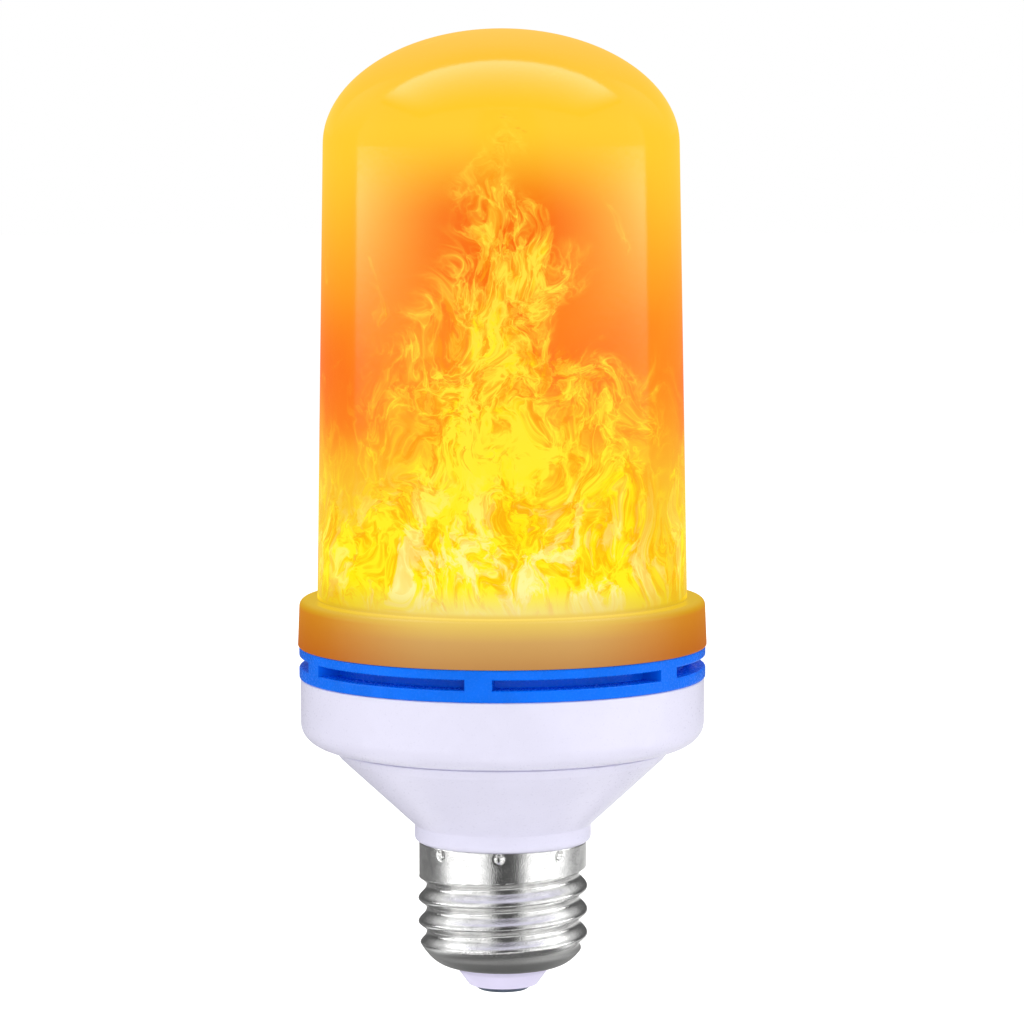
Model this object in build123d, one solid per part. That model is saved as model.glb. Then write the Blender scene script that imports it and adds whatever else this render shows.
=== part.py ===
from build123d import *
import math
import os

# Flame effect LED bulb with a screw cap, as a bench would find it when it is taken apart.
# Millimetres. Z is the bulb's own axis, with the tip of the centre contact at zero and -Y as the front.

# Screw cap: a stamped sheet shell, drawn at the size over its thread crests
cap_radius = 13.1
cap_sheet = 0.35
cap_bottom = 3.9
cap_length = 19.5
cap_lip_width = 1.6

# Centre contact: a bevelled disc with a rivet stem
contact_radius = 4.2
contact_thickness = 0.9
contact_bevel = 0.3
stem_radius = 1.2

# Insulator: a nub that widens from the contact up to the cap, and a flange inside it
nub_margin = 1.1
nub_taper = 1.7
flange_thickness = 2.0
moulding_clearance = 0.15

# Vent ring: six slots between two lips, and a ledge inside the cover's collar
ring_radius = 31.3
ring_width = 4.9
ring_height = 4.9
slot_height = 1.55
slot_depth = 3.4
lower_lip = 1.8
rib_count = 6
rib_width = 4.1
first_rib_angle = -96.5
ledge_height = 2.0

# Driver housing: stub, neck, funnel and drum in one white moulding
housing_wall = 1.6
stub_wall = 1.2
stub_rise = 6.0
neck_overhang = 0.55
neck_length = 2.7
neck_bevel = 0.6
funnel_height = 11.6
drum_inset = 0.2
drum_wall = 2.2
drum_height = 11.3
drum_round = 6.1
drum_round_height = 4.0
drum_floor = 3.1

# Diffuser cover: collar, drafted wall and dome in one translucent moulding
collar_overhang = 0.2
collar_wall = 1.8
collar_height = 7.3
collar_bevel = 0.8
shoulder_width = 3.05
shoulder_thickness = 1.6
cover_taper = 1.2
cover_wall_height = 69.6
cover_wall = 1.5
dome_height = 17.6
knuckle_radius = 13.0
roof_flat_radius = 12.8

# Base board, and the screws and posts that hold it below the drum's rim
board_thickness = 1.6
board_clearance = 0.3
board_drop = 1.7
post_count = 3
post_width = 6.0
post_reach = 7.4
screw_inset = 5.4
screw_head_apothem = 2.0
screw_head_height = 1.5
screw_radius = 1.2
screw_length = 6.0
screw_clearance = 0.15

# LED tower: a twelve-sided former, the flexible board round it and the board on top
former_sides = 12
former_inset = 6.5
former_wall = 1.4
former_rise = 2.5
flex_thickness = 0.4
flex_foot_margin = 6.4
flex_top_margin = 4.0
flex_seam = 1.5
led_rows = 6
led_width = 2.8
led_length = 3.5
led_thickness = 0.8
top_board_thickness = 1.0
top_led_count = 4
top_led_inset = 8.0

# Driver board and what is soldered to it
driver_board_sides = 8
bulk_capacitor_size = (4.0, 12.0)
output_capacitor_size = (3.15, 8.0)
inductor_size = (4.0, 8.0)
fuse_size = (1.5, 7.0)
bridge_size = (5.0, 4.0, 2.4)
driver_chip_size = (5.0, 4.0, 1.5)
flame_chip_size = (6.4, 5.2, 1.6)

# Where the parts sit on the driver board
bulk_capacitor_place = (-7.5, 0)
output_capacitor_place = (9, -7)
inductor_place = (8.5, 6.5)
fuse_place = (0, -13)
bridge_place = (-9, -8)
driver_chip_place = (9, -5)
flame_chip_place = (5, 9)

# Leads and pins
lead_radius = 0.8
lead_gap = 0.3
neutral_lead_rise = 0.6
neutral_lead_top = 3.0
pin_width = 0.64
pin_places = {"positive": (-12, 7), "negative": (-9, 9), "data": (-6, 11)}

# Radii that follow from the sizes above
cap_bore_radius = cap_radius - cap_sheet
nub_tip_radius = contact_radius + nub_margin
cap_opening_radius = nub_tip_radius + nub_taper
cap_lip_radius = cap_opening_radius + cap_lip_width
stub_radius = cap_bore_radius - moulding_clearance
stub_bore_radius = stub_radius - stub_wall
neck_radius = cap_radius + neck_overhang
drum_radius = ring_radius - drum_inset
drum_bore_radius = drum_radius - drum_wall
funnel_radius = drum_radius - drum_round
collar_radius = ring_radius + collar_overhang
collar_bore_radius = collar_radius - collar_wall
cover_foot_radius = collar_radius - shoulder_width
cover_top_radius = cover_foot_radius - cover_taper
cover_bore_radius = cover_top_radius - cover_wall
screw_circle_radius = drum_bore_radius - screw_inset
former_apothem = screw_circle_radius - former_inset
flex_apothem = former_apothem + flex_thickness
top_led_circle = former_apothem - top_led_inset

# Heights that follow from the sizes above
contact_top = contact_thickness
cap_floor = cap_bottom + cap_sheet
flange_top = cap_floor + flange_thickness
shoulder_top = cap_bottom + cap_radius - cap_lip_radius
stub_bottom = shoulder_top + stub_rise
cap_top = cap_bottom + cap_length
neck_top = cap_top + neck_length
funnel_top = neck_top + funnel_height
drum_top = funnel_top + drum_height
board_seat = funnel_top + drum_floor
driver_board_top = board_seat + board_thickness
post_top = drum_top - board_drop
base_board_top = post_top + board_thickness
ring_top = drum_top + ring_height
collar_top = ring_top + collar_height
wall_top = collar_top + cover_wall_height
former_top = wall_top + former_rise
flex_bottom = base_board_top + flex_foot_margin
flex_height = former_top - flex_top_margin - flex_bottom


def turned(*outline):
    """A solid of revolution round Z from (radius, height) points of a closed outline."""
    with BuildSketch(Plane.XZ) as section:
        with BuildLine():
            Polyline(*outline, close=True)
        make_face()
    return revolve(section.sketch, Axis.Z)


def post(radius, bottom, height, place=(0, 0)):
    """An upright round bar that stands on the height bottom."""
    bar = Cylinder(radius, height, align=(Align.CENTER, Align.CENTER, Align.MIN))
    return Pos(place[0], place[1], bottom) * bar


def block(size, bottom, place):
    """An upright box that stands on the height bottom."""
    box = Box(*size, align=(Align.CENTER, Align.CENTER, Align.MIN))
    return Pos(place[0], place[1], bottom) * box


def wire(start, end, radius):
    """A straight round wire between two points."""
    run = Vector(*end) - Vector(*start)
    bar = Cylinder(radius, run.length, align=(Align.CENTER, Align.CENTER, Align.MIN))
    return Plane(origin=start, z_dir=run) * bar


def prism(apothem, sides, bottom, height):
    """An upright regular prism with a flat facing -Y, apothem being its axis-to-flat distance."""
    corner_radius = apothem / math.cos(math.pi / sides)
    outline = Rot(0, 0, 180 / sides) * RegularPolygon(corner_radius, sides)
    return Pos(0, 0, bottom) * extrude(outline, height)


def around(piece, count):
    """Copies of a piece at equal steps round Z, the first where the piece is."""
    return [Rot(0, 0, 360 * i / count) * piece for i in range(count)]


def screw_places():
    """The screws' places on their circle, the first one towards the back."""
    turns = [math.pi / 2 + 2 * math.pi * i / post_count for i in range(post_count)]
    return [(screw_circle_radius * math.cos(turn), screw_circle_radius * math.sin(turn)) for turn in turns]


def screw_holes(bottom, height):
    """Round cutters for the screws, from the height bottom up."""
    return [post(screw_radius + screw_clearance, bottom, height, place) for place in screw_places()]


def center_contact():
    """The tip's disc and the rivet stem that goes up through the insulator."""
    disc = turned(
        (0, 0),
        (contact_radius - contact_bevel, 0),
        (contact_radius, contact_bevel),
        (contact_radius, contact_top),
        (0, contact_top),
    )
    return disc + post(stem_radius, contact_top, flange_top - contact_top)


def cap_insulator():
    """The nub between the contact and the cap, with its flange on the cap's lip."""
    neck = cap_opening_radius - moulding_clearance
    flange = cap_lip_radius - moulding_clearance
    body = turned(
        (0, contact_top),
        (nub_tip_radius, contact_top),
        (neck, cap_floor),
        (flange, cap_floor),
        (flange, flange_top),
        (0, flange_top),
    )
    return body - post(stem_radius, contact_top, flange_top - contact_top)


def screw_shell():
    """The stamped cap: a flat lip, a 45 degree shoulder and a straight wall up to its open rim."""
    shoulder_shift = cap_sheet * math.tan(math.radians(22.5))
    return turned(
        (cap_opening_radius, cap_bottom),
        (cap_lip_radius, cap_bottom),
        (cap_radius, shoulder_top),
        (cap_radius, cap_top),
        (cap_bore_radius, cap_top),
        (cap_bore_radius, shoulder_top + shoulder_shift),
        (cap_lip_radius - shoulder_shift, cap_floor),
        (cap_opening_radius, cap_floor),
    )


def housing_cavity(growth=0):
    """The inside of the housing, or a body larger than it by growth all round."""
    slope = (funnel_radius - neck_radius) / funnel_height
    shift = housing_wall * math.hypot(1, slope)
    funnel_mouth = neck_radius + (board_seat - neck_top) * slope - shift
    funnel_throat = neck_top + (stub_bore_radius + shift - neck_radius) / slope
    return turned(
        (0, cap_bottom),
        (stub_bore_radius + growth, cap_bottom),
        (stub_bore_radius + growth, funnel_throat - growth),
        (funnel_mouth + growth, board_seat - growth),
        (drum_bore_radius + growth, board_seat - growth),
        (drum_bore_radius + growth, drum_top),
        (0, drum_top),
    )


def board_posts(growth=0):
    """Posts round the drum's wall, reaching inwards under the base board's screws."""
    inner = drum_bore_radius - post_reach - growth
    outer = drum_bore_radius + drum_wall / 2
    size = (post_width + 2 * growth, outer - inner, post_top - neck_top)
    return Part() + around(block(size, neck_top, (0, (inner + outer) / 2)), post_count)


def driver_housing():
    """The white moulding: a stub inside the cap, the neck, the funnel and the drum."""
    round_run = drum_round * math.sin(math.pi / 4)
    round_rise = drum_round_height * (1 - math.cos(math.pi / 4))
    body = turned(
        (0, stub_bottom),
        (stub_radius, stub_bottom),
        (stub_radius, cap_top),
        (neck_radius - neck_bevel, cap_top),
        (neck_radius, cap_top + neck_bevel),
        (neck_radius, neck_top),
        (funnel_radius, funnel_top),
        (funnel_radius + round_run, funnel_top + round_rise),
        (drum_radius, funnel_top + drum_round_height),
        (drum_radius, drum_top),
        (0, drum_top),
    )
    # The posts end inside the thickness of the wall and the floor, so that they grow out of them.
    posts = board_posts() & housing_cavity(growth=housing_wall / 2)
    return body - housing_cavity() + posts - screw_holes(post_top - screw_length, screw_length)


def vent_ring():
    """The blue ring: an annulus with six slots cut in from its rim, and the ledge for the cover."""
    ledge_radius = collar_bore_radius - moulding_clearance
    body = turned(
        (ring_radius - ring_width, drum_top),
        (ring_radius, drum_top),
        (ring_radius, ring_top),
        (ledge_radius, ring_top),
        (ledge_radius, ring_top + ledge_height),
        (ring_radius - ring_width, ring_top + ledge_height),
    )
    slot_bottom = drum_top + lower_lip
    slot_top = slot_bottom + slot_height
    # The cutter runs on past the rim, and each rib from behind the slot's back wall to past the rim.
    band = turned(
        (ring_radius - slot_depth, slot_bottom),
        (ring_radius + slot_depth, slot_bottom),
        (ring_radius + slot_depth, slot_top),
        (ring_radius - slot_depth, slot_top),
    )
    rib = block((3 * slot_depth, rib_width, slot_height), slot_bottom, (ring_radius, 0))
    return Rot(0, 0, first_rib_angle) * (body - (band - around(rib, rib_count)))


def diffuser_cover():
    """The translucent moulding: collar, shoulder, drafted wall and a dome of two tangent arcs."""
    knuckle_center = cover_top_radius - knuckle_radius
    rise = dome_height - knuckle_radius
    crown_drop = (knuckle_center**2 - rise**2) / (2 * rise)
    crown_radius = dome_height + crown_drop
    join = math.degrees(math.atan2(crown_drop, knuckle_center))
    with BuildSketch(Plane.XZ) as section:
        with BuildLine():
            Polyline(
                (0, wall_top + dome_height),
                (0, ring_top),
                (collar_radius, ring_top),
                (collar_radius, collar_top - collar_bevel),
                (collar_radius - collar_bevel, collar_top),
                (cover_foot_radius, collar_top),
                (cover_top_radius, wall_top),
            )
            CenterArc((knuckle_center, wall_top), knuckle_radius, 0, join)
            CenterArc((0, wall_top - crown_drop), crown_radius, join, 90 - join)
        make_face()
    body = revolve(section.sketch, Axis.Z)
    # The bore is straight, so the wall grows thicker towards the foot. The roof inside the dome is
    # two cones and a flat, with their corners one wall thickness inside the outer arcs.
    corner = (knuckle_radius - cover_wall) * math.sqrt(0.5)
    roof_height = math.sqrt((crown_radius - cover_wall) ** 2 - roof_flat_radius**2) - crown_drop
    hollow = turned(
        (0, ring_top),
        (collar_bore_radius, ring_top),
        (collar_bore_radius, collar_top - shoulder_thickness),
        (cover_bore_radius, collar_top - shoulder_thickness),
        (cover_bore_radius, wall_top),
        (knuckle_center + corner, wall_top + corner),
        (roof_flat_radius, wall_top + roof_height),
        (0, wall_top + roof_height),
    )
    return body - hollow


def led_base_board():
    """The board that the former stands on, screwed to the housing's posts."""
    corner_radius = drum_bore_radius - board_clearance
    apothem = corner_radius * math.cos(math.pi / former_sides)
    board = prism(apothem, former_sides, post_top, board_thickness)
    return board - screw_holes(post_top, board_thickness)


def led_former():
    """The twelve-sided tube in the middle of the bulb that carries the LED board."""
    height = former_top - base_board_top
    tube = prism(former_apothem, former_sides, base_board_top, height)
    return tube - prism(former_apothem - former_wall, former_sides, base_board_top, height)


def led_package():
    """One LED, flat on the XZ plane's outer side at the front of the former."""
    size = (led_width, led_thickness, led_length)
    return Pos(0, -flex_apothem, 0) * Box(*size, align=(Align.CENTER, Align.MAX, Align.CENTER))


def led_flex_board():
    """The flexible board folded round the former, with its rows of LEDs soldered on."""
    board = prism(flex_apothem, former_sides, flex_bottom, flex_height)
    board = board - prism(former_apothem, former_sides, flex_bottom, flex_height)
    seam = block((flex_seam, 2 * former_wall, flex_height), flex_bottom, (0, flex_apothem))
    board = board - Rot(0, 0, 180 / former_sides) * seam
    pitch = flex_height / led_rows
    for row in range(led_rows):
        height = flex_bottom + pitch * (row + 0.5)
        board = board + around(Pos(0, 0, height) * led_package(), former_sides)
    return board


def top_led_board():
    """The small board on top of the former that lights the dome."""
    board = prism(former_apothem, former_sides, former_top, top_board_thickness)
    size = (led_width, led_length, led_thickness)
    led = block(size, former_top + top_board_thickness, (0, -top_led_circle))
    return board + around(led, top_led_count)


def base_screw(place):
    """A hexagon-headed self-tapping screw, without its thread."""
    shank = post(screw_radius, base_board_top - screw_length, screw_length, place)
    head = prism(screw_head_apothem, 6, base_board_top, screw_head_height)
    return shank + Pos(place[0], place[1], 0) * head


def driver_board():
    """An eight-sided board on the drum's floor, notched round the posts."""
    corner_radius = drum_bore_radius - board_clearance
    apothem = corner_radius * math.cos(math.pi / driver_board_sides)
    return prism(apothem, driver_board_sides, board_seat, board_thickness) - board_posts(board_clearance)


def hanging(size, place):
    """A round component soldered under the driver board."""
    radius, length = size
    return post(radius, board_seat - length, length, place)


def fusible_resistor():
    """A round resistor that lies on top of the driver board."""
    radius, length = fuse_size
    bar = Rot(0, 90, 0) * Cylinder(radius, length)
    return Pos(fuse_place[0], fuse_place[1], driver_board_top + radius) * bar


def live_lead():
    """From the contact's rivet straight up to the driver board."""
    return wire((0, 0, flange_top), (0, 0, board_seat), lead_radius)


def neutral_lead():
    """From the cap's inner wall, between its shoulder and the stub, up to the driver board."""
    foot = (0, cap_bore_radius - lead_radius - lead_gap, shoulder_top + neutral_lead_rise)
    return wire(foot, (0, neutral_lead_top, board_seat - lead_gap), lead_radius)


def board_pin(place):
    """A square pin from the driver board to the board above it."""
    return block((pin_width, pin_width, post_top - driver_board_top), driver_board_top, place)


pieces = {
    "center_contact": center_contact(),
    "cap_insulator": cap_insulator(),
    "screw_shell": screw_shell(),
    "driver_housing": driver_housing(),
    "vent_ring": vent_ring(),
    "diffuser_cover": diffuser_cover(),
    "led_base_board": led_base_board(),
    "led_former": led_former(),
    "led_flex_board": led_flex_board(),
    "top_led_board": top_led_board(),
    "driver_board": driver_board(),
    "bulk_capacitor": hanging(bulk_capacitor_size, bulk_capacitor_place),
    "output_capacitor": hanging(output_capacitor_size, output_capacitor_place),
    "inductor": hanging(inductor_size, inductor_place),
    "fusible_resistor": fusible_resistor(),
    "bridge_rectifier": block(bridge_size, driver_board_top, bridge_place),
    "driver_chip": block(driver_chip_size, driver_board_top, driver_chip_place),
    "flame_chip": block(flame_chip_size, driver_board_top, flame_chip_place),
    "live_lead": live_lead(),
    "neutral_lead": neutral_lead(),
}
for signal, place in pin_places.items():
    pieces[f"{signal}_pin"] = board_pin(place)
for number, place in enumerate(screw_places(), start=1):
    pieces[f"base_screw_{number}"] = base_screw(place)

os.makedirs("parts", exist_ok=True)
for name, piece in pieces.items():
    export_step(piece, f"parts/{name}.step")
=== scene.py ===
import math

import bmesh
import bpy
import numpy as np
from mathutils import Matrix, Vector

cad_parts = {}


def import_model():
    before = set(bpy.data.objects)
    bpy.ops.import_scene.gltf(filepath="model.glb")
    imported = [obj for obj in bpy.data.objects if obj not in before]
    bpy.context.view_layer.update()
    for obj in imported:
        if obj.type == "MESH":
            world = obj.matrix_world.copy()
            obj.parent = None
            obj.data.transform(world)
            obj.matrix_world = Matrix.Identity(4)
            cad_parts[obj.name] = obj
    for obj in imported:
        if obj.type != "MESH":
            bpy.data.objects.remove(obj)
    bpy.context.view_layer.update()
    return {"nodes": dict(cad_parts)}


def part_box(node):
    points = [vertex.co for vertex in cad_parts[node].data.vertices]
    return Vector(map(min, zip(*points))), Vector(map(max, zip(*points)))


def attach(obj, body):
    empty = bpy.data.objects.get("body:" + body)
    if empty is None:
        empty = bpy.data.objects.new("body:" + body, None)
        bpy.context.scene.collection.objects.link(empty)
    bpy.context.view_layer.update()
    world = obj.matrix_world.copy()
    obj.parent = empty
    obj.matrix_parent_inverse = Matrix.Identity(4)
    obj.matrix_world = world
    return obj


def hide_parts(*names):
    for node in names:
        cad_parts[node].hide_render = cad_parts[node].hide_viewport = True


# Flame effect LED bulb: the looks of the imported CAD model. +Z is up and -Y is the front.
# Outlines are worked out in millimetres, and the studio in metres.

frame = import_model()

MM = 0.001


def span(node):
    """(bottom, top, radius) of a round CAD node, in millimetres."""
    low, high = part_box(node)
    return low.z / MM, high.z / MM, max(high.x, high.y) / MM


_, FLANGE_TOP, CONTACT_RADIUS = span("center_contact")
NUB_BOTTOM, _, _ = span("cap_insulator")
CAP_BOTTOM, CAP_TOP, CAP_RADIUS = span("screw_shell")
STUB_BOTTOM, DRUM_TOP, DRUM_RADIUS = span("driver_housing")
_, LEDGE_TOP, RING_RADIUS = span("vent_ring")
RING_TOP, LAMP_TOP, COLLAR_RADIUS = span("diffuser_cover")
POST_TOP, _, _ = span("led_base_board")
BOARD_SEAT, _, _ = span("driver_board")
_, LED_BOARD_TOP, _ = span("top_led_board")
LED_FACE = LED_BOARD_TOP - 0.05
STEM_RADIUS = 1.2
COLLAR_TOP = RING_TOP + 7.3
DOME_HEIGHT = 17.6
WALL_TOP = LAMP_TOP - DOME_HEIGHT
COVER_FOOT_RADIUS = COLLAR_RADIUS - 3.05
COVER_TOP_RADIUS = COLLAR_RADIUS - 4.25
NECK_TOP = CAP_TOP + 2.7
CREASE = NECK_TOP + 12.0

SEGMENTS = 256
SHARP_ANGLE = math.radians(35)
WELD, SLIVER = 1e-7, 1e-8


# Meshes

def added(name, data):
    """A new object with this data, in the scene."""
    piece = bpy.data.objects.new(name, data)
    bpy.context.scene.collection.objects.link(piece)
    return piece


def rounded(corners, steps=6, hold=0.15):
    """An outline from (radius, height, rounding) corners. Each rounding is an arc, with a point
    just before and after it that keeps the shading of the flat stretches level."""
    points = []
    befores = corners[-1:] + corners[:-1]
    afters = corners[1:] + corners[:1]
    for before, corner, after in zip(befores, corners, afters):
        at = Vector(corner[:2])
        if not corner[2]:
            points.append(tuple(at))
            continue
        back = (Vector(before[:2]) - at).normalized()
        on = (Vector(after[:2]) - at).normalized()
        half = back.angle(on) / 2
        reach = corner[2] / math.tan(half)
        center = at + (back + on).normalized() * corner[2] / math.sin(half)
        start = at + back * reach - center
        end = at + on * reach - center
        sweep = start.angle_signed(end)
        points.append(tuple(at + back * (reach + hold)))
        for i in range(steps + 1):
            turn = Matrix.Rotation(-sweep * i / steps, 2)
            points.append(tuple(center + turn @ start))
        points.append(tuple(at + on * (reach + hold)))
    return points


def arc(center, radii, start, end, steps):
    """(radius, height) points on an ellipse, angles in degrees from the outward direction."""
    turns = [math.radians(start + (end - start) * i / steps) for i in range(steps + 1)]
    return [(center[0] + radii[0] * math.cos(t), center[1] + radii[1] * math.sin(t)) for t in turns]


def skin(name, *surfaces):
    """One mesh from (rows, closed) surfaces. Each row is a ring of points in millimetres or a
    single point, and a closed surface joins its last row to its first."""
    vertices, faces = [], []
    for rows, closed in surfaces:
        starts = []
        for row in rows:
            starts.append(len(vertices))
            vertices.extend([coordinate * MM for coordinate in point] for point in row)
        pairs = [(k, k + 1) for k in range(len(rows) - 1)]
        if closed:
            pairs.append((len(rows) - 1, 0))
        for low, high in pairs:
            count = max(len(rows[low]), len(rows[high]))
            for i in range(count):
                ring = [
                    starts[low] + i % len(rows[low]),
                    starts[low] + (i + 1) % count % len(rows[low]),
                    starts[high] + (i + 1) % count % len(rows[high]),
                    starts[high] + i % len(rows[high]),
                ]
                faces.append(list(dict.fromkeys(ring)))
    mesh = bpy.data.meshes.new(name)
    mesh.from_pydata(vertices, [], faces)
    shape = bmesh.new()
    shape.from_mesh(mesh)
    bmesh.ops.remove_doubles(shape, verts=shape.verts, dist=WELD)
    bmesh.ops.dissolve_degenerate(shape, edges=shape.edges, dist=SLIVER)
    bmesh.ops.recalc_face_normals(shape, faces=shape.faces)
    shape.to_mesh(mesh)
    shape.free()
    mesh.shade_smooth()
    mesh.set_sharp_from_angle(angle=SHARP_ANGLE)
    return added(name, mesh)


def ring_of(radius, height, turns):
    """One row of points at these angles, radius and height being numbers or arrays."""
    x = radius * np.cos(turns)
    y = radius * np.sin(turns)
    return np.column_stack([x, y, np.broadcast_to(height, x.shape)])


def turned(outline, segments=SEGMENTS):
    """The rows of a surface of revolution round the lamp's axis."""
    turns = np.linspace(0, 2 * math.pi, segments, endpoint=False)
    return [ring_of(r, z, turns) if r > 1e-6 else [(0, 0, z)] for r, z in outline]


# Shader nodes

def linear(color):
    """A colour as written on screen, 0 to 255, in the shader's own units."""
    parts = [c / 255 for c in color]
    return tuple(p / 12.92 if p <= 0.04045 else ((p + 0.055) / 1.055) ** 2.4 for p in parts) + (1,)


def plug(tree, socket, value):
    """Sets an input to a number or colour, or joins it to a field."""
    if isinstance(value, Field):
        tree.links.new(value.socket, socket)
    else:
        socket.default_value = value


class Field:
    """A number, colour or vector worked out by shader nodes, to be used in sums and products."""

    def __init__(self, tree, socket):
        self.tree = tree
        self.socket = socket

    def math(self, operation, *others):
        node = self.tree.nodes.new("ShaderNodeMath")
        node.operation = operation
        for socket, value in zip(node.inputs, (self, *others)):
            plug(self.tree, socket, value)
        return Field(self.tree, node.outputs[0])

    def __add__(self, other):
        return self.math("ADD", other)

    def __sub__(self, other):
        return self.math("SUBTRACT", other)

    def __rsub__(self, other):
        return self.math("MULTIPLY", -1.0).math("ADD", other)

    def __mul__(self, other):
        return self.math("MULTIPLY", other)

    def __truediv__(self, other):
        return self.math("DIVIDE", other)

    def __pow__(self, other):
        return self.math("POWER", other)

    def __abs__(self):
        return self.math("ABSOLUTE")

    def falloff(self):
        """1 where the field is 0, and fading to 0 as it grows."""
        return (self * -1.0).math("EXPONENT")

    def ease(self, start, end, low=0.0, high=1.0):
        """From low to high as the field goes from start to end, smoothly and no further."""
        node = self.tree.nodes.new("ShaderNodeMapRange")
        node.interpolation_type = "SMOOTHSTEP"
        for socket, value in zip(node.inputs, (self, start, end, low, high)):
            plug(self.tree, socket, value)
        return Field(self.tree, node.outputs[0])

    def ramp(self, stops, interpolation="LINEAR"):
        """A colour that runs through (place, colour on screen) stops."""
        node = self.tree.nodes.new("ShaderNodeValToRGB")
        node.color_ramp.interpolation = interpolation
        elements = node.color_ramp.elements
        while len(elements) < len(stops):
            elements.new(1.0)
        for element, (place, color) in zip(elements, stops):
            element.position = place
            element.color = linear(color)
        plug(self.tree, node.inputs[0], self)
        return Field(self.tree, node.outputs[0])


class Vectors(Field):
    """A field of vectors."""

    def vector_math(self, operation, other):
        node = self.tree.nodes.new("ShaderNodeVectorMath")
        node.operation = operation
        plug(self.tree, node.inputs[0], self)
        plug(self.tree, node.inputs[1], other)
        return Vectors(self.tree, node.outputs[0])

    def __add__(self, other):
        return self.vector_math("ADD", other)

    def __sub__(self, other):
        return self.vector_math("SUBTRACT", other)

    def __mul__(self, other):
        return self.vector_math("MULTIPLY", other)


def noise(place, scale, detail=2.0, roughness=0.5):
    """Smooth noise from 0 to 1, with features of about 1 / scale millimetres."""
    node = place.tree.nodes.new("ShaderNodeTexNoise")
    plug(place.tree, node.inputs["Vector"], place)
    node.inputs["Scale"].default_value = scale
    node.inputs["Detail"].default_value = detail
    node.inputs["Roughness"].default_value = roughness
    return Field(place.tree, node.outputs["Fac"])


def stirred(place, scale, reach):
    """The place, moved about by smooth noise as far as half the reach along x, y and z."""
    shift = noise(place, scale)
    colors = shift.socket.node.outputs["Color"]
    return place + (Vectors(place.tree, colors) - (0.5, 0.5, 0.5)) * reach


def blend(share, first, second):
    """The first colour where share is 0 and the second where it is 1."""
    tree = share.tree
    node = tree.nodes.new("ShaderNodeMix")
    node.data_type = "RGBA"
    plug(tree, node.inputs["Factor"], share)
    for socket, value in zip(("A", "B"), (first, second)):
        target = [s for s in node.inputs if s.name == socket and s.type == "RGBA"][0]
        plug(tree, target, value)
    return Field(tree, [s for s in node.outputs if s.type == "RGBA"][0])


def place_of(tree):
    """The point on the lamp in millimetres, as a vector and as its x, y and z."""
    coordinates = tree.nodes.new("ShaderNodeTexCoord")
    place = Vectors(tree, coordinates.outputs["Object"]) * (1 / MM, 1 / MM, 1 / MM)
    parts = tree.nodes.new("ShaderNodeSeparateXYZ")
    plug(tree, parts.inputs[0], place)
    return place, [Field(tree, socket) for socket in parts.outputs]


def bearing(x, y):
    """The direction of a point round the lamp, in degrees from the front towards +X."""
    return x.math("ARCTAN2", y * -1.0) * math.degrees(1)


def material(name, roughness=0.4, metallic=0.0, specular=0.5, coat=0.0):
    """A new material with its principled shader, and the tree that it lives in."""
    made = bpy.data.materials.new(name)
    made.use_nodes = True
    shader = made.node_tree.nodes["Principled BSDF"]
    shader.inputs["Roughness"].default_value = roughness
    shader.inputs["Metallic"].default_value = metallic
    shader.inputs["Specular IOR Level"].default_value = specular
    shader.inputs["Coat Weight"].default_value = coat
    shader.inputs["Coat Roughness"].default_value = 0.05
    return made, shader, made.node_tree


def bump(tree, shader, height, strength, distance):
    """Lifts the surface by a height field, distance being the rise in metres for a height of 1."""
    node = tree.nodes.new("ShaderNodeBump")
    node.inputs["Strength"].default_value = strength
    node.inputs["Distance"].default_value = distance
    plug(tree, node.inputs["Height"], height)
    tree.links.new(node.outputs["Normal"], shader.inputs["Normal"])


def paint(tree, shader, **fields):
    """Joins fields to the shader's inputs, base_color standing for Base Color."""
    for name, field in fields.items():
        plug(tree, shader.inputs[name.replace("_", " ").title()], field)


# Materials

def backlight(place, across, height, z):
    """The glow behind the flames: gold at the dome, orange lower down and yellow at the foot."""
    pale, yellow = (246, 204, 48), (254, 230, 44)
    orange, red, gold, amber = (251, 135, 24), (246, 97, 3), (252, 205, 46), (250, 188, 4)
    sides = height.ramp([(0.1, pale), (0.42, orange), (0.82, gold), (1.0, amber)], "EASE")
    middle = height.ramp(
        [(0.17, yellow), (0.4, orange), (0.67, red), (0.84, gold), (1.0, amber)], "EASE"
    )
    color = blend(abs(across).ease(0.1, 0.92), middle, sides)
    embers = noise(place * (1, 1, 0.6), 0.05).ease(0.44, 0.6)
    embers = embers * z.ease(82.0, 90.0) * z.ease(96.0, 110.0, 1.0, 0.0)
    return blend(embers * 0.6, color, linear((249, 100, 22)))


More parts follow.
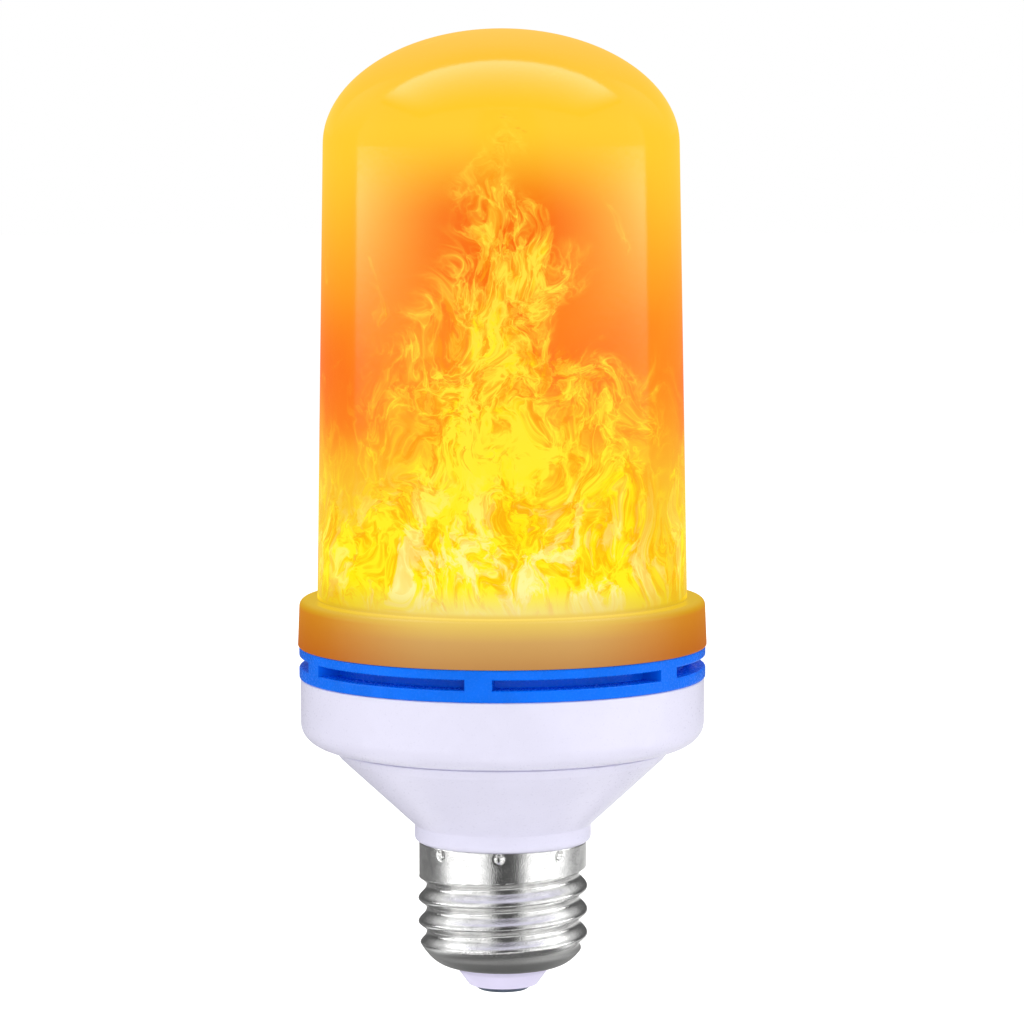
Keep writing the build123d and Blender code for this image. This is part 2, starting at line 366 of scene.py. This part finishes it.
def fire(place, x, z):
    """The glow of the lit cover, with a generic fire of warped noise on it: a plume in the middle
    of the front and of the back, and a bed of flames all round the foot."""
    drift = stirred(place, 0.045, (26, 26, 34))
    flow = stirred(drift, 0.13, (9, 9, 13))
    curl = stirred(flow, 0.35, (2.4, 2.4, 3.4))
    wisp = stirred(curl, 0.9, (1.1, 1.1, 1.5))
    across = x / COVER_FOOT_RADIUS
    height = (z - COLLAR_TOP) / (LAMP_TOP - COLLAR_TOP)
    color = backlight(place, across, height, z)

    # How hot it is: 0 above the flames and 1 well inside them
    bed_top, plume_rise, plume_width = 86.0, 57.0, 0.5
    ragged, fading = 48.0, 46.0
    sway = (noise(place * (0, 0, 1), 0.06) - 0.5) * 0.9
    plume = ((abs(across - sway) / plume_width) ** 1.2).falloff()
    edge = plume * plume_rise + bed_top + (noise(drift, 0.06, 3.0) - 0.5) * ragged
    heat = ((edge - z) / fading).ease(-0.1, 1.1)
    bed = z.ease(68.0, 92.0, 1.0, 0.0)

    # Tongues of flame, which run together towards the foot and have a bright edge
    smoke = noise(wisp * (1, 1, 0.55), 0.1, 7.0, 0.66)
    depth = smoke + heat * 0.32 - 0.6
    tongue = depth.ease(-0.03, 0.26)
    high = tongue.ramp([
        (0.0, (250, 116, 14)),
        (0.3, (249, 148, 18)),
        (0.6, (251, 194, 16)),
        (0.85, (254, 226, 20)),
        (1.0, (254, 240, 60)),
    ])
    low = tongue.ramp([
        (0.0, (250, 160, 24)),
        (0.3, (250, 178, 0)),
        (0.6, (251, 204, 0)),
        (0.9, (252, 226, 0)),
        (1.0, (253, 234, 2)),
    ])
    color = blend(tongue.ease(0.0, 0.3) * heat.ease(0.0, 0.06), color, blend(bed, high, low))
    fleck = noise(wisp * (1, 1, 0.5), 0.46, 6.0, 0.7)
    gap = blend(bed, linear((249, 150, 10)), linear((248, 184, 0)))
    color = blend(fleck.ease(0.44, 0.55, 0.85, 0.0) * heat.ease(0.1, 0.5), color, gap)
    bright = fleck.ease(0.52, 0.62, 0.0, 0.7) * tongue.ease(0.4, 0.9)
    color = blend(bright, color, linear((254, 241, 14)))
    cream = noise(wisp * (1, 1, 0.5), 0.2, 5.0, 0.62).ease(0.49, 0.6)
    cream = cream * z.ease(64.0, 86.0, 0.75, 0.0) * abs(across).ease(0.5, 0.95, 1.0, 0.35)
    color = blend(cream, color, linear((253, 236, 132)))

    # Thin bright filaments along the creases of the noise, close together only here and there
    def filaments(scale, sharpness):
        ridge = 1.0 - abs(noise(wisp * (1, 1, 0.62), scale, 1.0) * 2.0 - 1.0)
        return ridge ** sharpness

    rim = (((depth - 0.03) / 0.02) ** 2.0).falloff() * heat.ease(0.0, 0.15)
    busy = noise(flow * (1, 1, 0.7), 0.11, 2.0).ease(0.36, 0.56)
    fine = filaments(0.36, 12.0) * 0.9 + filaments(0.8, 8.0) * 0.6
    lines = filaments(0.15, 16.0) + fine * busy
    strength = lines * (tongue * 1.1 + heat.ease(0.0, 0.2, 0.0, 0.4)) + rim * 0.35
    gold = height.ramp([(0.1, (254, 243, 30)), (0.55, (254, 226, 66))])
    spark = blend(cream, gold, linear((255, 252, 180)))
    color = blend(strength.math("MINIMUM", 1.0), color, spark)
    pale, golden = linear((240, 220, 146)), linear((228, 190, 20))
    foot = blend(abs(across).ease(0.1, 0.98), pale, golden)
    return blend(z.ease(COLLAR_TOP, COLLAR_TOP + 5, 0.75, 0.0), color, foot)


def flame_plastic():
    """Translucent cover lit from inside, with a darker and duller look on the collar, where painted
    shade makes it paler in front and a deeper, darker orange towards its sides.
    """
    made, shader, tree = material("flame_diffuser")
    shader.inputs["IOR"].default_value = 1.2
    place, (x, _, z) = place_of(tree)

    up_collar = (z - RING_TOP) / (COLLAR_TOP - RING_TOP)
    # Painted shade on the collar: the front ramp is paler and the side ramp a deeper, darker
    # orange, blended by distance along x, so the collar darkens towards its left and right sides.
    # Both ramps brighten upwards towards the glowing cover.
    front = up_collar.ramp([(0.0, (186, 135, 78)), (0.55, (206, 162, 94)), (1.0, (236, 206, 96))])
    side = up_collar.ramp([(0.0, (184, 94, 2)), (0.82, (204, 126, 2)), (1.0, (214, 176, 10))])
    collar_painted_shade = blend((abs(x) / COLLAR_RADIUS).ease(0.3, 0.98), front, side)
    above = z.ease(COLLAR_TOP + 0.1, COLLAR_TOP + 0.9)
    color = blend(above, collar_painted_shade, fire(place, x, z))

    shader.inputs["Emission Strength"].default_value = 0.97
    rough = z.ease(COLLAR_TOP, COLLAR_TOP + 0.4, 0.35, 0.12)
    tint = blend(noise(place, 0.6, 3.0), linear((64, 36, 6)), linear((72, 44, 8)))
    paint(tree, shader, base_color=tint, roughness=rough, emission_color=color)
    bump(tree, shader, noise(place, 0.8, 3.0), 0.04, 0.0002)
    return made


def moulding(name, color, roughness=0.3, specular=0.5, coat=0.0, shade=0.93):
    """Moulded plastic: a faint cloudiness in the colour and a fine satin grain on the skin."""
    made, shader, tree = material(name, roughness, specular=specular, coat=coat)
    place, _ = place_of(tree)
    dark = linear([c * shade for c in color])
    tint = blend(noise(place, 0.12, 4.0, 0.6).ease(0.3, 0.7), linear(color), dark)
    grain = noise(place, 3.0, 2.0)
    rough = grain.ease(0.2, 0.8, roughness - 0.04, roughness + 0.06)
    paint(tree, shader, base_color=tint, roughness=rough)
    bump(tree, shader, grain, 0.02, 0.00006)
    return made


def nickel(name, color=(243, 243, 242), roughness=0.12):
    """Bright metal, drawn smooth, with a fine orange peel and dull patches. It turns dull and
    darker near the bottom of the lamp, where the cap's shoulder is."""
    made, shader, tree = material(name, roughness, metallic=1.0)
    place, (_, _, z) = place_of(tree)
    cloud = noise(place, 0.5, 4.0, 0.6)
    tint = blend(cloud.ease(0.35, 0.7), linear(color), linear([c * 0.93 for c in color]))
    dull_top, bright_from = CAP_BOTTOM + 2.8, CAP_BOTTOM + 4.0
    dull = z.ease(dull_top, bright_from, 0.5, 0.0)
    tint = blend(dull * 2.0, tint, linear([c * 0.72 for c in color]))
    grain = noise(place, 4.5, 3.0, 0.6)
    rough = grain.ease(0.3, 0.75, roughness - 0.05, roughness + 0.08) + dull
    paint(tree, shader, base_color=tint, roughness=rough)
    bump(tree, shader, grain, 0.22, 0.00016)
    return made


def circuit_board(name, mask, light):
    """Solder mask with paler pads and tracks under it."""
    made, shader, tree = material(name, 0.35, coat=0.3)
    place, _ = place_of(tree)
    cells = tree.nodes.new("ShaderNodeTexVoronoi")
    cells.distance = "MANHATTAN"
    cells.inputs["Scale"].default_value = 0.35
    plug(tree, cells.inputs["Vector"], place)
    tracks = Field(tree, cells.outputs["Distance"]).ease(0.42, 0.5)
    tint = blend(tracks * 0.7, linear(mask), linear(light))
    paint(tree, shader, base_color=tint)
    bump(tree, shader, tracks, 0.3, 0.00005)
    return made


def led_board():
    """White solder mask, and the pale yellow phosphor of whatever stands proud of the board,
    which is wrapped round a former of twelve sides."""
    sides, board_face = 12, 17.5
    made, shader, tree = material("led_board", 0.4)
    place, (x, y, z) = place_of(tree)
    side = 2 * math.pi / sides
    turn = x.math("ARCTAN2", y * -1.0)
    in_side = turn.math("ADD", side / 2).math("FLOORED_MODULO", side) - side / 2
    reach = (x * x + y * y).math("SQRT") * in_side.math("COSINE")
    proud = reach.ease(board_face, board_face + 0.1) + z.ease(LED_FACE - 0.05, LED_FACE)
    mask = blend(noise(place, 0.3, 3.0), linear((238, 238, 232)), linear((226, 228, 222)))
    glow = blend(noise(place, 1.5, 2.0), linear((246, 222, 120)), linear((238, 206, 84)))
    tint = blend(proud.math("MINIMUM", 1.0), mask, glow)
    paint(tree, shader, base_color=tint)
    return made


# Pieces

def dress(piece, finish, node):
    """Gives a piece its material, and puts it in the place of its CAD node."""
    piece.data.materials.append(finish)
    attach(piece, "root")
    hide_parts(node)


def diffuser():
    """Collar, tall cover with its draft, and dome, all one moulding."""
    wall = 1.5
    collar_wall, step = 1.8, 1.6
    bore = COVER_TOP_RADIUS - wall
    dome = arc((0, WALL_TOP), (COVER_TOP_RADIUS, DOME_HEIGHT), 90, 0, 40)
    roof = arc((0, WALL_TOP), (bore, DOME_HEIGHT - wall), 0, 90, 24)
    lower = rounded([
        (COVER_TOP_RADIUS, WALL_TOP, 0),
        (COVER_FOOT_RADIUS, COLLAR_TOP, 0.12),
        (COLLAR_RADIUS - 0.3, COLLAR_TOP, 1.1),
        (COLLAR_RADIUS, RING_TOP, 0.25),
        (COLLAR_RADIUS - collar_wall, RING_TOP, 0),
        (COLLAR_RADIUS - collar_wall, COLLAR_TOP - step, 0),
        (bore, COLLAR_TOP - step, 0),
        (bore, WALL_TOP, 0),
    ])
    outline = [(0, LAMP_TOP)] + dome[1:-1] + lower + roof[1:-1] + [(0, LAMP_TOP - wall)]
    return skin("flame_diffuser", (turned(outline), False))


def vent_ring():
    """Rows run up the outside, where the slot's rows dip in between the ribs, and down the bore."""
    slot_bottom = DRUM_TOP + 1.8
    slot_top = slot_bottom + 1.55
    depth = 3.4
    lip = 0.3
    bore = RING_RADIUS - 4.9
    ledge = COLLAR_RADIUS - 1.95
    before = rounded([
        (bore, DRUM_TOP, 0),
        (RING_RADIUS, DRUM_TOP, lip),
        (RING_RADIUS, slot_bottom, 0),
    ])[:-1]
    after = rounded([
        (RING_RADIUS, slot_top, 0),
        (RING_RADIUS, RING_TOP, lip),
        (ledge, RING_TOP, 0.1),
        (ledge, LEDGE_TOP, 0.2),
        (bore, LEDGE_TOP, 0.2),
        (bore, DRUM_TOP, 0),
    ])[1:-1]
    slot = rounded([
        (RING_RADIUS, DRUM_TOP, 0),
        (RING_RADIUS, slot_bottom, lip),
        (RING_RADIUS - depth, slot_bottom, lip / 2),
        (RING_RADIUS - depth, slot_top, lip / 2),
        (RING_RADIUS, slot_top, lip),
        (RING_RADIUS, RING_TOP, 0),
    ], hold=0.05)[1:-1]
    ribs, rib_half_width, first = 6, 2.05, math.radians(-96.5)
    pitch = 2 * math.pi / ribs
    flank = math.asin(rib_half_width / RING_RADIUS)
    on_rib = np.linspace(-flank, flank, 5)
    between = np.linspace(flank, pitch - flank, 29)
    middles = first + pitch * np.arange(ribs)
    turns = np.concatenate([middle + np.concatenate([on_rib, between]) for middle in middles])
    rib = np.tile([True] * len(on_rib) + [False] * len(between), ribs)
    nearest = first + np.round((turns - first) / pitch) * pitch
    off = turns - nearest
    at_flank = ~rib & np.isclose(np.abs(off), flank)
    rows = [ring_of(r, z, turns) for r, z in before]
    for r, z in slot:
        # The ribs' sides are parallel, so the columns there lean over as the slot goes in.
        radius = np.where(rib, RING_RADIUS, r)
        flanks = nearest + np.sign(off) * np.arcsin(rib_half_width / radius)
        rows.append(ring_of(radius, z, np.where(at_flank, flanks, turns)))
    rows += [ring_of(r, z, turns) for r, z in after]
    return skin("blue_vent_ring", (rows, True))


def housing():
    """Neck, funnel and drum, with a crease where the funnel meets the drum, and three posts inside
    for the base board's screws."""
    stub, stub_bore, throat = CAP_RADIUS - 0.5, CAP_RADIUS - 2.0, CAP_TOP + 2.6
    behind_thread = CAP_RADIUS - 1.6
    neck = CAP_RADIUS + 0.55
    crease = 26.1
    curve, curve_height = CREASE + 3.9, 3.75
    bore = DRUM_RADIUS - 2.2
    mouth = 25.8
    outline = rounded([
        (stub_bore, STUB_BOTTOM, 0.1),
        (behind_thread, STUB_BOTTOM, 0.2),
        (behind_thread, CAP_TOP - 3.4, 0),
        (stub, CAP_TOP - 2.4, 0),
        (stub, CAP_TOP, 0),
        (neck, CAP_TOP, 0.9),
        (neck, NECK_TOP, 0.35),
        (crease - 1.2, CREASE - 1.6, 1.5),
        (crease, CREASE - 0.15, 0.4),
        (crease - 0.2, CREASE, 0.1),
    ])
    outline += arc((crease, curve), (DRUM_RADIUS - crease, curve_height), -90, -4, 16)
    outline += rounded([
        (DRUM_RADIUS, curve + 0.4, 0),
        (DRUM_RADIUS, DRUM_TOP, 0.3),
        (bore, DRUM_TOP, 0),
        (bore, BOARD_SEAT, 0),
        (mouth, BOARD_SEAT, 0.4),
        (stub_bore, throat, 1.0),
        (stub_bore, STUB_BOTTOM, 0),
    ])[:-1]

    # A post is a bar with a blind hole. Its rows run up its sides and down the hole.
    posts, inner, outer, half_width = 3, bore - 7.4, bore + 1.1, 3.0
    hole_radius, hole_depth, circle = 1.35, 6.0, bore - 5.4
    count = 48
    turns = np.linspace(0, 2 * math.pi, count, endpoint=False)
    square = np.column_stack([np.cos(turns), np.sin(turns)])
    square = square / np.abs(square).max(axis=1, keepdims=True)
    radial = (inner + outer) / 2 + square[:, 0] * (outer - inner) / 2
    side = square[:, 1] * half_width
    slope = (BOARD_SEAT - throat) / (mouth - stub_bore)

    def foot(radius):
        """The height of a post's foot, sunk into the funnel's wall."""
        return np.minimum(throat + (radius - stub_bore) * slope, BOARD_SEAT) - 0.8

    hole_radial = circle + hole_radius * np.cos(turns)
    hole_side = hole_radius * np.sin(turns)
    level = np.full(count, POST_TOP)
    bar = [
        (radial, side, foot(radial)),
        (radial, side, level),
        (hole_radial, hole_side, level),
        (hole_radial, hole_side, level - hole_depth),
    ]
    surfaces = [(turned(outline), True)]
    for k in range(posts):
        middle = math.pi / 2 + 2 * math.pi * k / posts
        out = (math.cos(middle), math.sin(middle))
        rows = [
            np.column_stack([r * out[0] - s * out[1], r * out[1] + s * out[0], z])
            for r, s, z in bar
        ]
        under, bottom = [
            [(circle * out[0], circle * out[1], z)]
            for z in (foot(circle), POST_TOP - hole_depth)
        ]
        surfaces.append(([under] + rows + [bottom], False))
    return skin("white_driver_housing", *surfaces)


def thread_shell():
    """The stamped cap: a knuckle thread rolled into sheet, a plain band at the rim with punch
    marks, and a dull shoulder that curves in to the lip."""
    pitch = 3.65
    crest = CAP_RADIUS
    root = crest - 1.25
    band = crest - 0.15
    first_crest = 7.1
    above, below = 0.58, 0.42
    band_start, band_full = CAP_TOP - 6.2, CAP_TOP - 5.3
    marks, first_mark, mark_height = 8, 42.5, CAP_TOP - 0.95
    mark_width, mark_length, mark_depth = 0.6, 0.7, 0.35
    sheet = 0.35
    lip, opening = CAP_BOTTOM, 7.0
    shoulder = [(opening + 0.9, lip), (11.1, lip + 0.15), (13.2, lip + 4.3)]
    shoulder_rows, row_step = 26, 0.095

    def soft_min(a, b, width=0.12):
        return -width * np.log(np.exp(-(a - b) / width) + 1) + b

    def ease(value, start, end):
        t = np.clip((value - start) / (end - start), 0, 1)
        return t * t * (3 - 2 * t)

    def radius(turn, z):
        """turn runs from -X over the front to +X and on round the back."""
        laps = (z - first_crest) / pitch - turn / (2 * np.pi)
        # From one crest up to the next, the sheet falls back gently and comes out again steeply.
        up = (laps + below) % 1 - below
        wave = (1 + np.cos(np.pi * up / np.where(up > 0, above, below))) / 2
        thread = root + (crest - root) * wave**1.2
        limit = crest - (crest - band) * ease(z, band_start, band_full)
        groove = limit - np.minimum(thread, limit)
        # The groove runs out into the band in its third lap.
        run_out = 1 - ease(turn, np.pi, 1.9 * np.pi)
        depth = np.where(laps > 2, np.where(laps > 3, 0, run_out), 1)
        r = limit - groove * depth
        for k in range(marks):
            mark = np.radians(first_mark + 360 / marks * k)
            away = np.angle(np.exp(1j * (turn - mark))) * crest
            off = (away / mark_width) ** 2 + ((z - mark_height) / mark_length) ** 2
            r = r - mark_depth * np.exp(-(off**2))
        return r

    count = 288
    turn = np.linspace(0, 2 * np.pi, count, endpoint=False)
    rows = []
    for t in np.linspace(0, 1, shoulder_rows):
        r, z = [a * (1 - t) ** 2 + 2 * b * t * (1 - t) + c * t**2 for a, b, c in zip(*shoulder)]
        rows.append((soft_min(radius(turn, z), r) if z > lip + 1.5 else np.full(count, r), z))
    for z in np.arange(lip + 4.4, CAP_TOP - 0.16, row_step):
        rows.append((radius(turn, z), z))
    last = radius(turn, CAP_TOP - 0.15)
    rows += [(last, CAP_TOP - 0.15), (last - 0.05, CAP_TOP - 0.04), (last - 0.14, CAP_TOP)]
    inside = [(last - sheet + 0.05, CAP_TOP), (last - sheet, CAP_TOP - 0.08)]
    inside += [(r - sheet, z) for r, z in rows[-8:shoulder_rows:-3]]
    inside += [(r - sheet * 0.6, z + sheet * 0.8) for r, z in rows[shoulder_rows - 4:0:-3]]
    edge = [(0.1, sheet), (0.0, sheet - 0.1), (0.0, 0.08), (0.1, 0.0)]
    inside += [(np.full(count, opening + out), lip + up) for out, up in edge]
    rings = [ring_of(r, z, turn + np.pi) for r, z in rows + inside]
    return skin("nickel_screw_cap", (rings, True))


def insulator():
    """The nub below the cap, with the flange that holds it in the shell and a bore for the stem."""
    seat, flange = 6.85, 8.45
    flange_bottom = CAP_BOTTOM + 0.35
    outline = rounded([
        (STEM_RADIUS, NUB_BOTTOM, 0),
        (CONTACT_RADIUS + 1.1, NUB_BOTTOM, 0.3),
        (seat, flange_bottom - 1.2, 0.4),
        (seat, flange_bottom, 0),
        (flange, flange_bottom, 0.1),
        (flange, FLANGE_TOP, 0.3),
        (STEM_RADIUS, FLANGE_TOP, 0),
    ])
    return skin("cap_nub", (turned(outline, 128), True))


def contact():
    """The disc at the tip and its stem."""
    outline = [(0, 0)] + rounded([
        (2.2, 0.0, 0),
        (CONTACT_RADIUS - 0.5, 0.12, 0.6),
        (CONTACT_RADIUS, 0.45, 0.2),
        (CONTACT_RADIUS, NUB_BOTTOM, 0.05),
        (STEM_RADIUS, NUB_BOTTOM, 0),
        (STEM_RADIUS, FLANGE_TOP, 0.1),
    ]) + [(0, FLANGE_TOP)]
    return skin("tip_contact", (turned(outline, 96), False))


dress(diffuser(), flame_plastic(), "diffuser_cover")
blue = moulding("blue_gloss", (0, 110, 242), 0.25, specular=0.12)
dress(vent_ring(), blue, "vent_ring")
white = moulding("lilac_white", (220, 218, 237), 0.3, specular=0.35, shade=0.985)
dress(housing(), white, "driver_housing")
dress(thread_shell(), nickel("nickel_plate"), "screw_shell")
nub = moulding("nub_white", (226, 220, 248), 0.4, shade=0.97)
dress(insulator(), nub, "cap_insulator")
dress(contact(), nickel("dull_contact", (218, 234, 255), 0.55), "center_contact")

finishes = {
    "former": moulding("former_white", (238, 238, 234), 0.5),
    "led": led_board(),
    "green": circuit_board("green_board", (16, 96, 44), (70, 150, 80)),
    "chip": moulding("black_epoxy", (34, 34, 36), 0.5, shade=0.8),
    "sleeve": moulding("capacitor_sleeve", (36, 38, 46), 0.25, coat=0.4, shade=0.85),
    "shrink": moulding("shrink_sleeve", (30, 30, 30), 0.55, shade=0.8),
    "enamel": moulding("resistor_enamel", (120, 160, 180), 0.4, shade=0.88),
    "red": moulding("red_insulation", (200, 36, 28), 0.5, shade=0.88),
    "black": moulding("black_insulation", (32, 32, 32), 0.5, shade=0.8),
    "pin": nickel("tinned_brass", (222, 190, 120), 0.3),
    "steel": nickel("zinc_steel", (190, 192, 198), 0.35),
}
carried_over = {
    "led_former": "former",
    "led_base_board": "led",
    "led_flex_board": "led",
    "top_led_board": "led",
    "driver_board": "green",
    "bridge_rectifier": "chip",
    "driver_chip": "chip",
    "flame_chip": "chip",
    "bulk_capacitor": "sleeve",
    "output_capacitor": "sleeve",
    "inductor": "shrink",
    "fusible_resistor": "enamel",
    "live_lead": "red",
    "neutral_lead": "black",
    "positive_pin": "pin",
    "negative_pin": "pin",
    "data_pin": "pin",
    "base_screw_1": "steel",
    "base_screw_2": "steel",
    "base_screw_3": "steel",
}
for node, finish in carried_over.items():
    for slot in frame["nodes"][node].material_slots:
        slot.material = finishes[finish]


# Studio

FLOOR_HEIGHT = -0.05
NEAR_FLOOR = -0.041
LAMP_MIDDLE = Vector((0, 0, 0.075))


def seen_by_camera(tree):
    """1 for what the camera sees, straight, in gloss or through glass, and 0 for other light."""
    path = tree.nodes.new("ShaderNodeLightPath")
    kinds = ("Camera", "Glossy", "Transmission")
    rays = [Field(tree, path.outputs[f"Is {kind} Ray"]) for kind in kinds]
    return (rays[0] + rays[1] + rays[2]).math("MINIMUM", 1.0)


def world():
    """White where it is seen, and dimmer as a light."""
    made = bpy.data.worlds.new("studio")
    bpy.context.scene.world = made
    made.use_nodes = True
    tree = made.node_tree
    background = tree.nodes["Background"]
    background.inputs["Color"].default_value = (1, 1, 1, 1)
    diffuse = 0.55
    strength = seen_by_camera(tree) * (1 - diffuse) + diffuse
    plug(tree, background.inputs["Strength"], strength)


def floor():
    """A pale floor below the lamp, which hangs in its holder. It looks white and keeps a shadow."""
    mesh = bpy.data.meshes.new("studio_floor")
    reach = 4.0
    corners = [(-reach, -reach), (reach, -reach), (reach, reach), (-reach, reach)]
    mesh.from_pydata([(x, y, FLOOR_HEIGHT) for x, y in corners], [], [(0, 1, 2, 3)])
    piece = added("studio_floor", mesh)
    made, shader, tree = material("pale_floor", 0.8, specular=0.0)
    place, _ = place_of(tree)
    tint = blend(noise(place, 0.01, 3.0), linear((236, 236, 236)), linear((240, 240, 240)))
    shader.inputs["Emission Color"].default_value = (1, 1, 1, 1)
    glow = seen_by_camera(tree) * 0.42 + 0.13
    paint(tree, shader, base_color=tint, emission_strength=glow)
    piece.data.materials.append(made)


def glowing_card(name, points, faces, strength, fade=None):
    """A card that only shows in glossy reflections, bright for a soft box and dark for a flag.
    fade works out a share of the strength from the point on the card, in millimetres."""
    mesh = bpy.data.meshes.new(name)
    mesh.from_pydata(points, [], faces)
    piece = added(name, mesh)
    made = bpy.data.materials.new(name)
    made.use_nodes = True
    tree = made.node_tree
    tree.nodes.clear()
    light = tree.nodes.new("ShaderNodeEmission")
    share = fade(*place_of(tree)[1]) * strength if fade else strength
    plug(tree, light.inputs["Strength"], share)
    output = tree.nodes.new("ShaderNodeOutputMaterial")
    tree.links.new(light.outputs[0], output.inputs["Surface"])
    mesh.materials.append(made)
    piece.visible_camera = False
    piece.visible_diffuse = False
    piece.visible_shadow = False
    piece.visible_transmission = False


def card(name, inner, outer, azimuth, strength, fade=None):
    """A card round the lamp between two (radius, height) edges. Azimuths are degrees from the
    front towards +X."""
    steps = 48
    turns = np.radians(np.linspace(azimuth[0], azimuth[1], steps + 1) - 90)
    points = [(r * math.cos(t), r * math.sin(t), z) for r, z in (inner, outer) for t in turns]
    faces = [(i, i + 1, steps + 2 + i, steps + 1 + i) for i in range(steps)]
    glowing_card(name, points, faces, strength, fade)


def side_fade(x, y, z):
    """Bright towards its two ends and its top, fading forwards and downwards, with rounded
    corners."""
    turn = abs(bearing(x, y))
    up = ((z - 26.0) / 107.0).math("MAXIMUM", 0.0)
    bright = turn.ease(20.0, 104.0, 0.16, 1.0) * up**2.2
    into_end = ((turn - 82.0) / 22.0).math("MAXIMUM", 0.0)
    into_top = ((z - 126.5) / 7.5).math("MAXIMUM", 0.0)
    return bright * (into_end**2.0 + into_top**2.0).ease(0.92, 1.0, 1.0, 0.0)


def top_fade(x, y, z):
    """Bright at the back edge, fading to nothing at the front edge and the two ends."""
    return y.ease(-560.0, 420.0) * abs(x).ease(600.0, 1050.0, 1.0, 0.0)


def panel(name, inner, outer, azimuth, level, soft=14):
    """A card at this level, which over soft degrees goes into the studio's white at both ends."""
    low, high = azimuth

    def fade(x, y, z):
        turn = bearing(x, y)
        share = turn.ease(low, low + soft) * turn.ease(high - soft, high, 1.0, 0.0)
        return share * (level - 1.0) + 1.0

    card(name, inner, outer, azimuth, 1.0, fade)


def dome_fade(x, y, z):
    """Dark low behind the dome, and the studio's white higher up."""
    return z.ease(150.0, 300.0, 0.2, 1.0)


def flag_fade(x, y, z):
    """Dark behind the lamp's lower part, and up to the studio's white above the dome."""
    return z.ease(140.0, 600.0, 0.12, 1.0)


def lamp(name, place, size, watts):
    """A soft square light aimed at the middle of the bulb."""
    data = bpy.data.lights.new(name, "AREA")
    data.size = size
    data.energy = watts
    source = added(name, data)
    source.location = place
    source.rotation_euler = (Vector(place) - LAMP_MIDDLE).to_track_quat("Z", "Y").to_euler()
    source.visible_glossy = False


def camera():
    """The photograph's view: from 0.75 m, level with the dome, looking slightly down."""
    data = bpy.data.cameras.new("photo_view")
    data.lens = 172.3
    data.sensor_width = 36
    data.clip_start = 0.01
    eye = added("photo_view", data)
    tilt = Matrix.Rotation(math.radians(90 - 5.63), 4, "X")
    roll = Matrix.Rotation(math.radians(-0.12), 4, "Z")
    eye.matrix_world = Matrix.Translation((0.00153, -0.75, 0.1483)) @ tilt @ roll
    bpy.context.scene.camera = eye


world()
floor()
lamp("key", (-0.7, -0.9, 0.7), 0.8, 3.7)
lamp("left", (-1.1, 0.1, 0.8), 0.8, 4.6)
lamp("right", (1.1, 0.1, 0.8), 0.8, 5.2)
lamp("fill", (0.9, -0.7, 0.6), 0.9, 3.1)
lamp("rear", (0.2, 0.9, 0.8), 0.9, 3)
lamp("low", (0.1, -0.9, 0.0), 0.6, 2.0)
card("side_box", (0.6, -0.008), (0.6, 0.1372), (-104, 104), 10, side_fade)
top_corners = [(-1.05, -0.56, 1.0), (1.05, -0.56, 1.0), (1.05, 0.42, 1.0), (-1.05, 0.42, 1.0)]
glowing_card("top_box", top_corners, [(0, 1, 2, 3)], 8, top_fade)
card("back_flag", (0.6, -0.049), (0.6, 0.6), (104, 256), 1.0, flag_fade)
card("dome_flag", (0.12, 0.138), (0.12, 0.3), (130, 230), 1.0, dome_fade)
card("under_flag", (0.0, -0.04), (0.13, -0.04), (-180, 180), 0.15)
card("under_ring", (0.05, -0.039), (0.085, -0.039), (-180, 180), 1.0)
panel("front_flag", (0.5, NEAR_FLOOR), (0.5, 0.8), (-24, 34), 0.08)
panel("front_floor_flag", (0.13, NEAR_FLOOR), (0.5, NEAR_FLOOR), (-24, 34), 0.1)
panel("left_flag", (0.13, NEAR_FLOOR), (0.7, NEAR_FLOOR), (-178, -80), 0.22)
panel("right_flag", (0.15, NEAR_FLOOR), (0.7, NEAR_FLOOR), (86, 172), 0.55, 24)
camera()

scene = bpy.context.scene
scene.view_settings.view_transform = "Standard"
